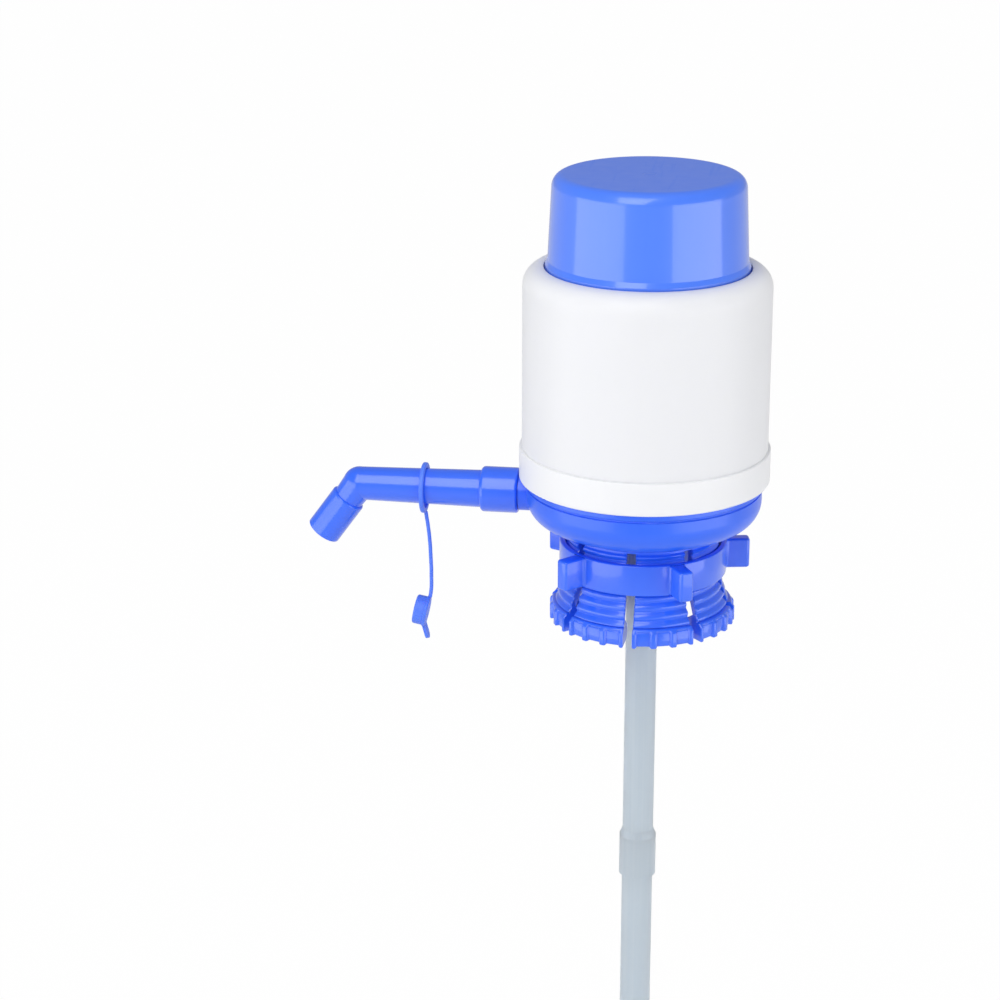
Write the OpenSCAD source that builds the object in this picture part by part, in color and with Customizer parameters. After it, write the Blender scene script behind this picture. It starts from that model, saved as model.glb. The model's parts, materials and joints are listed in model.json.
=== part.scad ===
// Hand pump for a water jug.
// A split collet and a lugged clamp ring grip the jug's neck. A sprung cap works a bellows,
// and the air that it presses into the jug drives water up the dip tube and out of the spout.
// Origin: centre of the jug's lip, on the pump's axis. +Z up, the spout points to -X.

/* [Barrel] */
// Outer diameter of the white barrel
barrel_d = 100; // [98:0.5:102]
// Wall thickness of the barrel
barrel_wall = 2.3; // [2.1:0.1:2.4]
// Height of the joint between barrel and base above the lip
seam_z = 20.5; // [20:0.5:21]
// Height of the barrel's shoulder above the lip
shoulder_z = 108.8; // [107:0.1:110]
// Radius of the rounded shoulder
shoulder_r = 7.5; // [6.5:0.1:8]
// Height of the thicker foot band
foot_h = 13.7; // [10:0.1:16]
// How far the foot band stands out
foot_out = 1.1; // [0.6:0.1:1.6]

/* [Cap] */
// Travel of the cap
cap_travel = 32; // [30:1:33]
// How far the pressed cap still stands above the shoulder
cap_stand = 5.2; // [4.6:0.1:6]
// Diameter of the cap at its top
cap_top_d = 77.4; // [75:0.1:78.4]
// Diameter of the cap where it meets the shoulder
cap_low_d = 80.2; // [79:0.1:80.4]
// Diameter of the flared foot of the visible cap
cap_flare_d = 82; // [81:0.1:82.4]
// Wall thickness of the cap
cap_wall = 2.2; // [2:0.1:2.4]
// Radius of the cap's top edge
cap_edge_r = 5; // [3:0.5:5]

/* [Base] */
// Height of the base's underside above the lip
base_z = 2; // [1.5:0.1:2.5]
// Outer diameter of the bowl
bowl_d = 96.2; // [95:0.1:96.4]
// Radius of the bowl's rounded bottom
bowl_r = 10.5; // [9:0.5:12]
// Outer diameter of the lip under the barrel
rim_d = 97.6; // [97:0.1:98]
// Wall thickness of the base
base_wall = 2.5; // [2.4:0.1:2.6]

/* [Neck clamp] */
// Inner diameter of the collet, which passes over a 55 mm crown
collet_bore_d = 55.8; // [55.4:0.1:56]
// Inner diameter of the jaws' gripping lips
grip_d = 52.8; // [52.4:0.1:53]
// Number of jaws
jaws = 8; // [6:1:10]
// Width of the slots between jaws
slot_w = 3.7; // [3:0.1:4]
// Distance from one ridge of the thread to the next
ridge_pitch = 4; // [3.8:0.1:4]
// Height of the collet's toothed foot
foot_ring_h = 7.5; // [7:0.1:9]
// Outer diameter of the collet's toothed foot
foot_ring_d = 74.4; // [74:0.1:75]
// Number of rib places round the toothed foot; those at a slot are cut away
foot_ribs = 24; // [16:8:32]
// Outer diameter of the clamp ring's band
ring_d = 68.8; // [67.6:0.1:69.4]
// Height of the clamp ring
ring_h = 12.9; // [12:0.1:12.9]
// Number of lugs on the clamp ring
lugs = 5; // [3:1:6]
// Distance from the axis to the tip of a lug
lug_tip_r = 44; // [42:0.5:46]
// Width of a lug
lug_w = 5; // [4:0.5:7]

/* [Spout] */
// Height of the spout's axis above the lip
spout_z = 12.1; // [12:0.1:12.1]
// Diameter of the spout beside its socket
spout_d = 15.5; // [15:0.1:16]
// Diameter of the spout at its elbow
spout_bend_d = 13.8; // [13:0.1:14]
// Diameter of the spout where its nozzle begins
spout_end_d = 12.8; // [12.4:0.1:13]
// Diameter of the spout inside its nozzle
spout_tip_d = 11.7; // [11.6:0.1:11.8]
// Distance from the axis to the corner of the elbow
elbow_x = 118.4; // [115:0.1:120]
// Angle by which the spout turns down at its elbow
elbow_angle = 54.2; // [45:0.1:60]
// Outer diameter of the nozzle
nozzle_d = 14.6; // [14.4:0.1:15]
// Length of the nozzle
nozzle_l = 19; // [17:0.1:19.4]

/* [Dip tube] */
// Outer diameter of the dip tube
tube_d = 13; // [12.8:0.1:13]
// Wall thickness of the dip tube
tube_wall = 1.2; // [1:0.1:1.4]
// Length of one section of the dip tube
section_l = 165; // [120:5:170]
// Depth of the joint between two sections
joint_l = 16; // [12:1:18]

/* [Bellows and spring] */
// Outer diameter of the bellows
bellows_d = 67.2; // [66:0.1:68]
// Number of folds in the bellows
folds = 12; // [10:1:14]
// Diameter of the spring, measured at the wire's centre
spring_d = 28; // [27.6:0.1:28.4]
// Diameter of the spring's wire
wire_d = 1.8; // [1.6:0.1:1.8]
// Number of turns of the spring
spring_turns = 10; // [8:1:12]

/* [Tether] */
// Distance from the axis to the tether's loop
loop_x = 91; // [88:0.5:94]
// Outer diameter of the tether's loop
loop_d = 21; // [20.4:0.1:21.4]
// Diameter of the strap
strap_d = 1.6; // [1.6:0.1:2.2]
// Diameter of the dust plug
plug_d = 12.3; // [12.2:0.1:12.4]

/* [Hidden] */
$fn = 96;
eps = 0.01;
// How far a shape reaches into the one that carries it
sink = 0.5;
// Gap between pieces that only pass each other, and gaps of fits that slide or turn
fit_gap = 0.3;
slide_gap = 0.1;

barrel_r = barrel_d / 2;
bore_r = barrel_r - barrel_wall;
foot_r = barrel_r + foot_out;
foot_edge_r = 1;
foot_step_r = 0.5;
hole_gap = 0.7;
cap_hole_r = cap_flare_d / 2 + hole_gap;
snap_z = seam_z + 6.5;
snap_r = 0.9;

cap_top_z = shoulder_z + cap_travel + cap_stand;
cap_top_t = 2.5;
cap_corner = 3;
flare_h = 3;
skirt_low_z = 88;
skirt_step_z = shoulder_z - barrel_wall - fit_gap;
skirt_r = bore_r - fit_gap;
skirt_corner_r = shoulder_r - barrel_wall - fit_gap;
skirt_wall = 2;
cap_in_z = cap_top_z - cap_top_t;

deck_z = seam_z + 2.1;
deck_t = 2.4;
deck_top_z = deck_z + deck_t;
bowl_in_r = bowl_d / 2 - base_wall;
deck_seal_t = 0.6;
ledge_z = deck_z - deck_seal_t;
ledge_w = 2.6;
ledge_t = 1.6;
rim_h = 2.6;
rim_edge_r = 0.5;
shadow_r = 0.6;
floor_t = 2.5;
floor_z = base_z + floor_t;
upstand_r = bore_r - slide_gap;
upstand_z = seam_z + 10.5;
screw_count = 4;
screw_first = 45;
screw_ring_r = 41;
screw_r = 1.4;
screw_low_z = 14;
post_r = 3.4;

boss_r = 9.5;
boss_low_z = -6;
tube_r = tube_d / 2;
tube_in_r = tube_r - tube_wall;
tube_top_z = 7;
tube_seal_t = 1.4;
tube_seal_z = 3;
groove_gap = 0.2;
channel_r = 4.9;
stub_r = 7.35;
stub_root_r = seam_z - spout_z - fit_gap;
stub_end_x = 65.5;
spout_seal_x = 60;
spout_seal_t = 1.2;
spout_groove_w = 2;
air_holes = 6;
air_hole_first = 30;
air_hole_ring_r = 15;
air_hole_r = 2;
spigot_r = 19.7;
spigot_t = 2;
spigot_low_z = -5;

collet_r = collet_bore_d / 2;
collet_top_r = 32.2;
collar_t = 1.8;
slot_top_z = -2.2;
slot_angle = 41.5;
thread_root_r = 30.8;
thread_depth = 1;
thread_top_z = -4.1;
thread_ridges = 7;
// Heights on a ridge, measured down from its start: end of the rise, of the crest, of the fall
ridge_rise = 1.1;
ridge_crest = 2;
ridge_fall = 3.1;
thread_low_z = thread_top_z - thread_ridges * ridge_pitch;
flare_z = -19.6;
flare_slope = 0.33;
foot_ring_z = thread_low_z - foot_ring_h;
foot_rib_out = 1.1;
foot_rib_w = 3.2;
foot_rib_drop = 0.6;
foot_rib_low_z = foot_ring_z - foot_rib_drop;
ring_low_z = -19;
ring_angle = 11;
ring_in_r = thread_root_r + thread_depth + fit_gap;
ring_groove_h = 1.6;
ring_groove_depth = 0.5;
lug_inset = 0.2;

socket_near_x = 51.4;
socket_far_x = 67.2;
socket_r = 9.4;
socket_end_gap = 0.4;
socket_near_edge = 1.2;
socket_far_edge = 1.6;
spout_in_r = 4.7;
tip_l = 26.9;
// The ball of the elbow is a hair fatter than the straight parts that meet in it;
// its poles lie inside those parts
elbow_proud = 0.05;
tip_in_nozzle = 9;
nozzle_start = tip_l - nozzle_l;
nozzle_near_edge = 0.8;
nozzle_far_edge = 0.6;

bead_t = 1.8;
bead_in_r = 30.4;
bead_out_r = 38.1;
top_bead_in_r = 26.5;
bellows_r = bellows_d / 2;
fold_depth = 6;
bellows_wall = 1.1;
plate_z = cap_in_z - 13.9;
plate_t = 2.2;
plate_r = 31.5;
plate_top_z = plate_z + plate_t;
rib_low_z = plate_top_z + 2;
cuff_r = 33;
snap_collar_r = 19;
snap_collar_t = 2;
clamp_ring_t = 2.2;
clamp_in_r = 35.2;
clamp_top_z = deck_top_z + bead_t + clamp_ring_t;
// Collars on deck and plate that centre the spring from inside
spring_collar_out_r = spring_d / 2 - 1.2;
spring_collar_in_r = spring_d / 2 - 3.4;
spring_collar_h = 2.4;
notch_w = 6;
notch_first = 45;

valve_r = 8;
valve_t = 1.2;
valve_gap = 0.1;
valve_lift = 1;
valve_stem_r = 1.95;
valve_hole_ring_r = 5;
valve_hole_r = 1.5;
valve_knob_out = 1;
valve_knob_h = 1.3;
outlet_valve_x = 20;

loop_w = 1.8;
loop_in_r = 8.25;
loop_drop = 0.7;
loop_z = spout_z - loop_drop;
strap_top_z = loop_z - loop_d / 2 - slide_gap;
plug_pos = [-92.8, 0, -43];
plug_tilt = 11;

blue = "royalblue";
white = "whitesmoke";

// ---------- shared shapes ----------

// A flat shape from radius a to b and height c to d whose outer corners are rounded.
module outer_rounded(a, b, c, d, low_r, high_r) {
    translate([a, c + low_r]) square([b - a, d - c - low_r - high_r]);
    translate([a, c]) square([b - a - low_r, low_r + eps]);
    translate([a, d - high_r - eps]) square([b - a - high_r, high_r + eps]);
    if (low_r > 0) translate([b - low_r, c + low_r]) circle(low_r);
    if (high_r > 0) translate([b - high_r, d - high_r]) circle(high_r);
}

// A ring of rectangular section.
module band(inner, outer, low, high) {
    rotate_extrude() translate([inner, low]) square([outer - inner, high - low]);
}

// A round rubber ring.
module round_ring(centre_r, section_d) {
    rotate_extrude() translate([centre_r, 0]) circle(d = section_d, $fn = 32);
}

// Children repeated evenly about Z.
module around(count, first = 0) {
    for (i = [0 : count - 1]) rotate([0, 0, first + i * 360 / count]) children();
}

// Puts children that were drawn along +Z onto the spout's axis, pointing to -X.
module along_spout(x) {
    translate([-x, 0, spout_z]) rotate([0, -90, 0]) children();
}

// Puts children that were drawn along +Z onto the slanted tip, pointing out of it.
module along_tip(distance) {
    translate([-elbow_x, 0, spout_z]) rotate([0, -elbow_angle, 0])
        translate([-distance, 0, 0]) rotate([0, -90, 0]) children();
}

// One closed skin round a path: every ring of points is joined to the next.
module swept_tube(rings, sides) {
    count = len(rings);
    points = [for (ring = rings) for (p = ring) p];
    skin = [for (i = [0 : count - 2]) for (j = [0 : sides - 1])
        let (a = i * sides + j, b = i * sides + (j + 1) % sides)
        each [[a, b, b + sides], [a, b + sides, a + sides]]];
    low_end = [for (j = [sides - 1 : -1 : 0]) j];
    high_end = [for (j = [0 : sides - 1]) (count - 1) * sides + j];
    polyhedron(points, concat([low_end], skin, [high_end]), convexity = 10);
}

// ---------- white barrel ----------

module barrel_outline() {
    translate([0, seam_z + foot_h - eps])
        outer_rounded(0, barrel_r, 0, shoulder_z - seam_z - foot_h + eps, 0, shoulder_r);
    outer_rounded(0, foot_r, seam_z, seam_z + foot_h, foot_edge_r, foot_step_r);
}

module barrel_hollow() {
    translate([0, seam_z - 1])
        outer_rounded(0, bore_r, 0, shoulder_z - barrel_wall - seam_z + 1, 0, shoulder_r - barrel_wall);
    translate([0, seam_z]) square([cap_hole_r, shoulder_z]);
    translate([bore_r, snap_z]) circle(snap_r, $fn = 32);
}

module barrel() {
    color(white) rotate_extrude() difference() {
        barrel_outline();
        barrel_hollow();
    }
}

// ---------- blue base ----------

module bowl_shell() {
    rotate_extrude() difference() {
        union() {
            difference() {
                outer_rounded(0, bowl_d / 2, base_z, seam_z, bowl_r, 0);
                // Shadow line under the lip
                translate([bowl_d / 2, seam_z - rim_h - shadow_r]) circle(shadow_r, $fn = 24);
            }
            outer_rounded(0, rim_d / 2, seam_z - rim_h, seam_z, rim_edge_r, 0);
            translate([0, seam_z - eps]) square([upstand_r, upstand_z - seam_z]);
            translate([upstand_r, snap_z]) circle(snap_r - fit_gap, $fn = 32);
        }
        outer_rounded(0, bowl_in_r, floor_z, upstand_z + 1, bowl_r - base_wall, 0);
    }
    band(bowl_in_r - ledge_w, bowl_in_r + sink, ledge_z - ledge_t, ledge_z);
    band(spigot_r - spigot_t, spigot_r, spigot_low_z, base_z + eps);
    band(collet_top_r + slide_gap, collet_top_r + slide_gap + collar_t, 0, base_z + eps);
}

module screw_posts() {
    around(screw_count, screw_first) translate([screw_ring_r, 0, floor_z - sink])
        cylinder(h = deck_z - floor_z + sink, r = post_r);
}

module water_channel() {
    translate([0, 0, boss_low_z]) cylinder(h = spout_z + stub_r - boss_low_z, r = boss_r);
    // Stub, thicker up to the bowl's outside, which ends the spout's socket
    along_spout(0) cylinder(h = stub_end_x, r = stub_r);
    along_spout(0) cylinder(h = foot_r, r = stub_root_r);
}

module spout_seal_groove() {
    along_spout(spout_seal_x - spout_groove_w / 2) difference() {
        cylinder(h = spout_groove_w, r = stub_r + 1);
        translate([0, 0, -1]) cylinder(h = spout_groove_w + 2, r = stub_r - spout_seal_t);
    }
}

module pump_base() {
    color(blue) difference() {
        union() {
            bowl_shell();
            screw_posts();
            water_channel();
        }
        // Socket for the dip tube, with the groove of its seal
        translate([0, 0, boss_low_z - 1]) cylinder(h = tube_top_z - boss_low_z + 1, r = tube_r + slide_gap);
        translate([0, 0, tube_seal_z])
            cylinder(h = tube_seal_t + groove_gap, r = tube_r + tube_seal_t, center = true);
        // Water way: up out of the socket, then along the stub
        cylinder(h = spout_z + channel_r, r = channel_r);
        along_spout(0) cylinder(h = stub_end_x + 1, r = channel_r);
        spout_seal_groove();
        around(air_holes, air_hole_first) translate([air_hole_ring_r, 0, base_z - 1])
            cylinder(h = floor_t + 2, r = air_hole_r);
        around(screw_count, screw_first) translate([screw_ring_r, 0, screw_low_z - 1])
            cylinder(h = deck_z, r = screw_r + slide_gap / 2);
    }
}

module tube_seal() {
    color("dimgray") translate([0, 0, tube_seal_z]) round_ring(tube_r + tube_seal_t / 2, tube_seal_t);
}

module spout_seal() {
    color("dimgray") along_spout(spout_seal_x) round_ring(stub_r - spout_seal_t / 2, spout_seal_t);
}

module lip_gasket() {
    inner_r = spigot_r + 2 * slide_gap;
    outer_r = collet_r - 0.7;
    groove_r = 0.4;
    color("white") difference() {
        band(inner_r, outer_r, 0, base_z);
        // Two shallow grooves let the soft face bed down
        for (share = [0.3, 0.7]) translate([0, 0, base_z]) rotate_extrude()
            translate([inner_r + share * (outer_r - inner_r), 0]) circle(groove_r, $fn = 24);
    }
}

// ---------- neck clamp ----------

// Root radius of the collet's thread: straight above, flared below.
function thread_root(z) = thread_root_r + max(0, (flare_z - z) * flare_slope);

// One rounded buttress ridge that starts at height z.
function ridge(z) = [
    [thread_root(z), z],
    [thread_root(z) + thread_depth, z - ridge_rise],
    [thread_root(z - ridge_crest) + thread_depth, z - ridge_crest],
    [thread_root(z - ridge_fall), z - ridge_fall]];

module collet_section() {
    ridges = [for (i = [0 : thread_ridges - 1]) each ridge(thread_top_z - i * ridge_pitch)];
    wall = 3;
    grip_h = 6;
    lead_in = 1.5;
    edge = 0.8;
    neck_z = slot_top_z + 1.2;
    foot_r = foot_ring_d / 2;
    grip_r = grip_d / 2;
    flare_in_z = thread_low_z + 2;
    polygon(concat(
        [[collet_r, base_z], [collet_top_r, base_z], [collet_top_r, neck_z],
         [thread_root_r, neck_z - edge]],
        ridges,
        [[thread_root(thread_low_z), thread_low_z], [foot_r - edge, thread_low_z],
         [foot_r, thread_low_z - edge], [foot_r, foot_ring_z + edge], [foot_r - edge, foot_ring_z],
         [grip_r + lead_in, foot_ring_z],
         [grip_r, foot_ring_z + lead_in], [grip_r, foot_ring_z + grip_h],
         [thread_root(flare_in_z) - wall, flare_in_z], [collet_r, flare_z]]));
}

module foot_ring_ribs() {
    reach = foot_ring_d / 2 + foot_rib_out;
    rib_top_z = thread_low_z - 1.7;
    intersection() {
        around(foot_ribs, slot_angle) translate([foot_ring_d / 2 - 2, -foot_rib_w / 2, foot_rib_low_z])
            cube([4, foot_rib_w, rib_top_z - foot_rib_low_z]);
        translate([0, 0, foot_rib_low_z]) cylinder(h = rib_top_z - foot_rib_low_z, r = reach);
    }
}

module neck_collet() {
    color(blue) difference() {
        union() {
            rotate_extrude() collet_section();
            foot_ring_ribs();
        }
        around(jaws, slot_angle) translate([grip_d / 2 - 2, -slot_w / 2, foot_rib_low_z - 1])
            cube([foot_ring_d / 2, slot_w, slot_top_z - foot_rib_low_z + 1]);
    }
}

module lug_outline() {
    corner = 1.4;
    root = 1.2;
    band_r = ring_d / 2;
    start_r = band_r - 2 * sink;
    translate([start_r, -lug_w / 2]) square([lug_tip_r - start_r - corner, lug_w]);
    translate([lug_tip_r - corner - eps, -lug_w / 2 + corner]) square([corner + eps, lug_w - 2 * corner]);
    for (side = [-1, 1]) {
        translate([lug_tip_r - corner, side * (lug_w / 2 - corner)]) circle(corner, $fn = 32);
        // Concave fillet where the lug leaves the band
        difference() {
            translate([start_r, side > 0 ? lug_w / 2 - eps : -lug_w / 2 - root])
                square([root + sink, root + eps]);
            translate([band_r + root - 0.2, side * (lug_w / 2 + root)]) circle(root, $fn = 32);
        }
    }
}

module ring_section() {
    first_z = ring_low_z + 1.2;
    difference() {
        translate([ring_in_r, ring_low_z]) square([ring_d / 2 - ring_in_r, ring_h]);
        for (z = [first_z : ridge_pitch : ring_low_z + ring_h - ring_groove_h])
            translate([ring_in_r - 1, z]) square([1 + ring_groove_depth, ring_groove_h]);
    }
}

module clamp_ring() {
    color(blue) {
        rotate_extrude() ring_section();
        around(lugs, ring_angle) translate([0, 0, ring_low_z + lug_inset])
            linear_extrude(ring_h - 2 * lug_inset) lug_outline();
    }
}

// ---------- valve deck ----------

module valve_holes(depth) {
    around(6) translate([valve_hole_ring_r, 0, 0]) cylinder(h = depth, r = valve_hole_r);
    cylinder(h = depth, r = valve_stem_r + slide_gap);
}

// Rubber umbrella valve, drawn closed under a seat whose underside is at z = 0.
module umbrella_valve(seat_t) {
    rotate_extrude() {
        translate([0, -valve_gap - valve_t]) square([valve_r - 1, valve_t]);
        translate([valve_r - 1, -valve_gap - valve_t / 2]) circle(d = valve_t, $fn = 32);
        translate([0, -valve_gap - eps])
            square([valve_stem_r, seat_t + valve_gap + valve_lift + valve_knob_h]);
        // Knob that keeps the valve in its hole
        translate([0, seat_t + valve_lift + slide_gap])
            square([valve_stem_r + valve_knob_out, valve_knob_h]);
    }
}

module valve_deck() {
    color(white) difference() {
        union() {
            translate([0, 0, deck_z]) cylinder(h = deck_t, r = bowl_in_r - 2 * slide_gap);
            // Collar that centres the spring
            band(spring_collar_in_r, spring_collar_out_r, deck_top_z - eps, deck_top_z + spring_collar_h);
        }
        translate([outlet_valve_x, 0, deck_z - 1]) valve_holes(deck_t + 2);
        // The collar is cut away over the outlet valve
        translate([outlet_valve_x, 0, deck_top_z]) cylinder(h = spring_collar_h + 1, r = valve_r + sink);
        around(screw_count, screw_first) translate([screw_ring_r, 0, deck_z - 1])
            cylinder(h = deck_t + 2, r = screw_r + fit_gap);
    }
}

module air_outlet_valve() {
    color("dimgray") translate([outlet_valve_x, 0, deck_z]) umbrella_valve(deck_t);
}

module deck_seal() {
    color("dimgray") difference() {
        band(bowl_in_r - ledge_w, bowl_in_r, ledge_z, deck_z);
        around(screw_count, screw_first) translate([screw_ring_r, 0, ledge_z - 1])
            cylinder(h = deck_seal_t + 2, r = post_r + slide_gap);
    }
}

module bellows_clamp_ring() {
    outer_r = bowl_in_r - 0.4;
    color(white) difference() {
        union() {
            band(clamp_in_r, outer_r, deck_top_z + bead_t, clamp_top_z);
            band(bead_out_r + slide_gap, outer_r, deck_top_z, deck_top_z + bead_t + eps);
        }
        around(screw_count, screw_first) translate([screw_ring_r, 0, deck_top_z - 1])
            cylinder(h = clamp_top_z - deck_top_z + 2, r = screw_r + fit_gap);
    }
}

module deck_screws() {
    head_r = 2.8;
    head_h = 1.8;
    recess_l = 3.6;
    recess_w = 0.7;
    recess_depth = 1;
    color("silver") around(screw_count, screw_first) translate([screw_ring_r, 0, 0]) difference() {
        union() {
            translate([0, 0, screw_low_z]) cylinder(h = clamp_top_z - screw_low_z, r = screw_r);
            translate([0, 0, clamp_top_z]) cylinder(h = head_h, r = head_r);
        }
        // Cross recess
        for (turn = [0, 90]) rotate([0, 0, turn])
            translate([-recess_l / 2, -recess_w / 2, clamp_top_z + head_h - recess_depth])
                cube([recess_l, recess_w, recess_depth + 1]);
    }
}

// ---------- bellows and spring ----------

// Zigzag side of the bellows, shifted inwards by the given amount.
function fold_side(low, high, inset) = [
    for (i = [0 : 2 * folds])
        [bellows_r - inset - (i % 2 == 1 ? 0 : fold_depth), low + (high - low) * i / (2 * folds)]];

function backwards(list) = [for (i = [len(list) - 1 : -1 : 0]) list[i]];

// Whole section of the bellows: foot bead, cuff, folds, cuff and top bead.
module bellows_section() {
    cuff_h = 2.2;
    cuff_in_r = cuff_r - bellows_wall;
    bead_top_z = deck_top_z + bead_t;
    low = bead_top_z + cuff_h + 1.4;
    high = plate_z - cuff_h - 0.4;
    top_bead_z = rib_low_z;
    polygon(concat(
        [[bead_in_r, deck_top_z], [bead_out_r, deck_top_z], [bead_out_r, bead_top_z],
         [cuff_r, bead_top_z], [cuff_r, low - cuff_h]],
        fold_side(low, high, 0),
        [[cuff_r, high + cuff_h], [cuff_r, top_bead_z], [top_bead_in_r, top_bead_z],
         [top_bead_in_r, plate_top_z], [cuff_in_r, plate_top_z], [cuff_in_r, high + cuff_h]],
        backwards(fold_side(low, high, bellows_wall)),
        [[cuff_in_r, low - cuff_h], [cuff_in_r, bead_top_z], [bead_in_r, bead_top_z]]));
}

module bellows() {
    color("lightsteelblue") rotate_extrude() bellows_section();
}

module bellows_plate() {
    color(white) difference() {
        union() {
            translate([0, 0, plate_z]) cylinder(h = plate_t, r = plate_r);
            // Collar that snaps into the cap
            band(snap_collar_r - snap_collar_t, snap_collar_r, plate_top_z - eps, plate_top_z + 7);
            band(spring_collar_in_r, spring_collar_out_r, plate_z - spring_collar_h, plate_z + eps);
        }
        translate([0, 0, plate_z - 1]) valve_holes(plate_t + 2);
        // Air reaches the valve through four notches in the collar
        around(4, notch_first) translate([snap_collar_r - snap_collar_t - 1, -notch_w / 2, plate_top_z + 2])
            cube([snap_collar_t + 2, notch_w, 6]);
    }
}

module air_inlet_valve() {
    color("dimgray") translate([0, 0, plate_z]) umbrella_valve(plate_t);
}

// Height of the spring's centre line after t turns: close-wound at both ends.
function spring_height(t) =
    let (low = deck_top_z + wire_d / 2, high = plate_z - wire_d / 2, dead = wire_d + 0.1,
         active = (high - low - 2 * dead) / (spring_turns - 2))
    t < 1 ? low + dead * t
    : t > spring_turns - 1 ? high - dead * (spring_turns - t)
    : low + dead + active * (t - 1);

module return_spring() {
    sides = 6;
    per_turn = 20;
    rings = [for (i = [0 : spring_turns * per_turn])
        let (t = i / per_turn, turn = 360 * t, z = spring_height(t))
        [for (j = [0 : sides - 1])
            let (a = 360 * j / sides, r = spring_d / 2 + wire_d / 2 * cos(a))
            [r * cos(turn), r * sin(turn), z + wire_d / 2 * sin(a)]]];
    color("silver") swept_tube(rings, sides);
}

// ---------- press cap ----------

module cap_outline() {
    top_r = cap_top_d / 2;
    low_r = cap_low_d / 2;
    flare_r = cap_flare_d / 2;
    side_low_z = shoulder_z + flare_h;
    side_high_z = cap_top_z - cap_edge_r;
    polygon([[0, skirt_step_z - 1], [flare_r, skirt_step_z - 1], [flare_r, shoulder_z + 1],
        [low_r, side_low_z], [top_r, side_high_z], [top_r - cap_edge_r, cap_top_z], [0, cap_top_z]]);
    translate([top_r - cap_edge_r, side_high_z]) circle(cap_edge_r, $fn = 48);
    outer_rounded(0, skirt_r, skirt_low_z, skirt_step_z, 0, skirt_corner_r);
}

module cap_hollow() {
    inner_r = cap_flare_d / 2 - cap_wall;
    top_in_r = cap_top_d / 2 - cap_wall;
    polygon([[0, skirt_step_z - 1], [inner_r, skirt_step_z - 1], [inner_r, shoulder_z],
        [cap_low_d / 2 - cap_wall, shoulder_z + flare_h], [top_in_r, cap_in_z - cap_corner],
        [top_in_r - cap_corner, cap_in_z], [0, cap_in_z]]);
    outer_rounded(0, skirt_r - skirt_wall, skirt_low_z - 1, skirt_step_z - skirt_wall, 0,
        skirt_corner_r - skirt_wall);
    square([inner_r, skirt_step_z]);
}

module press_cap() {
    outer_rib_r = 32;
    outer_rib_t = 3;
    inner_rib_r = snap_collar_r + slide_gap;
    inner_rib_t = 1.9;
    color(blue) {
        rotate_extrude() difference() {
            cap_outline();
            cap_hollow();
        }
        difference() {
            union() {
                band(outer_rib_r - outer_rib_t, outer_rib_r, rib_low_z, cap_in_z + eps);
                band(inner_rib_r, inner_rib_r + inner_rib_t, rib_low_z + 0.6, cap_in_z + eps);
            }
            // Air passes the ribs through notches
            around(4, notch_first) translate([inner_rib_r - 1, -notch_w / 2, rib_low_z + 4])
                cube([outer_rib_r - inner_rib_r + 2, notch_w, 3]);
        }
    }
}

// ---------- spout ----------

module elbow_ball(r) {
    translate([-elbow_x, 0, spout_z]) rotate([0, 90, 0]) sphere(r + elbow_proud);
}

module spout_tube() {
    color(blue) difference() {
        union() {
            along_spout(socket_near_x) rotate_extrude() outer_rounded(
                0, socket_r, 0, socket_far_x - socket_near_x, socket_near_edge, socket_far_edge);
            along_spout(socket_far_x - 1)
                cylinder(h = elbow_x - socket_far_x + 1, r1 = spout_d / 2, r2 = spout_bend_d / 2);
            elbow_ball(spout_bend_d / 2);
            along_tip(0) cylinder(h = nozzle_start, r1 = spout_bend_d / 2, r2 = spout_end_d / 2);
            along_tip(0) cylinder(h = nozzle_start + tip_in_nozzle, r = spout_tip_d / 2);
        }
        along_spout(socket_near_x - 1)
            cylinder(h = stub_end_x - socket_near_x + 1 + socket_end_gap, r = stub_r + slide_gap);
        along_spout(socket_near_x) cylinder(h = elbow_x - socket_near_x, r = spout_in_r);
        elbow_ball(spout_in_r);
        along_tip(0) cylinder(h = tip_l, r = spout_in_r);
    }
}

module spout_nozzle() {
    color(blue) along_tip(nozzle_start) difference() {
        rotate_extrude() outer_rounded(0, nozzle_d / 2, 0, nozzle_l, nozzle_near_edge, nozzle_far_edge);
        translate([0, 0, -1]) cylinder(h = tip_in_nozzle + 1, r = spout_tip_d / 2);
        translate([0, 0, tip_in_nozzle]) cylinder(h = nozzle_l, r = plug_d / 2 + slide_gap);
    }
}

// ---------- dip tube ----------

// One section, drawn down from z = 0: a plain top end and a belled lower end.
module tube_section(belled) {
    bell_in_r = tube_r + slide_gap / 2;
    bell_r = bell_in_r + tube_wall;
    bell_l = joint_l + 2;
    taper_l = 3;
    color([0.85, 0.9, 0.95]) translate([0, 0, -section_l]) difference() {
        union() {
            cylinder(h = section_l, r = tube_r);
            if (belled) {
                cylinder(h = bell_l, r = bell_r);
                translate([0, 0, bell_l]) cylinder(h = taper_l, r1 = bell_r, r2 = tube_r);
            }
        }
        translate([0, 0, -1]) cylinder(h = section_l + 2, r = tube_in_r);
        if (belled) translate([0, 0, -1]) cylinder(h = joint_l + 1, r = bell_in_r);
    }
}

module dip_tube_upper() {
    translate([0, 0, tube_top_z]) tube_section(true);
}

module dip_tube_middle() {
    translate([0, 0, tube_top_z - section_l + joint_l]) tube_section(true);
}

module dip_tube_lower() {
    translate([0, 0, tube_top_z - 2 * (section_l - joint_l)]) tube_section(false);
}

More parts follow.
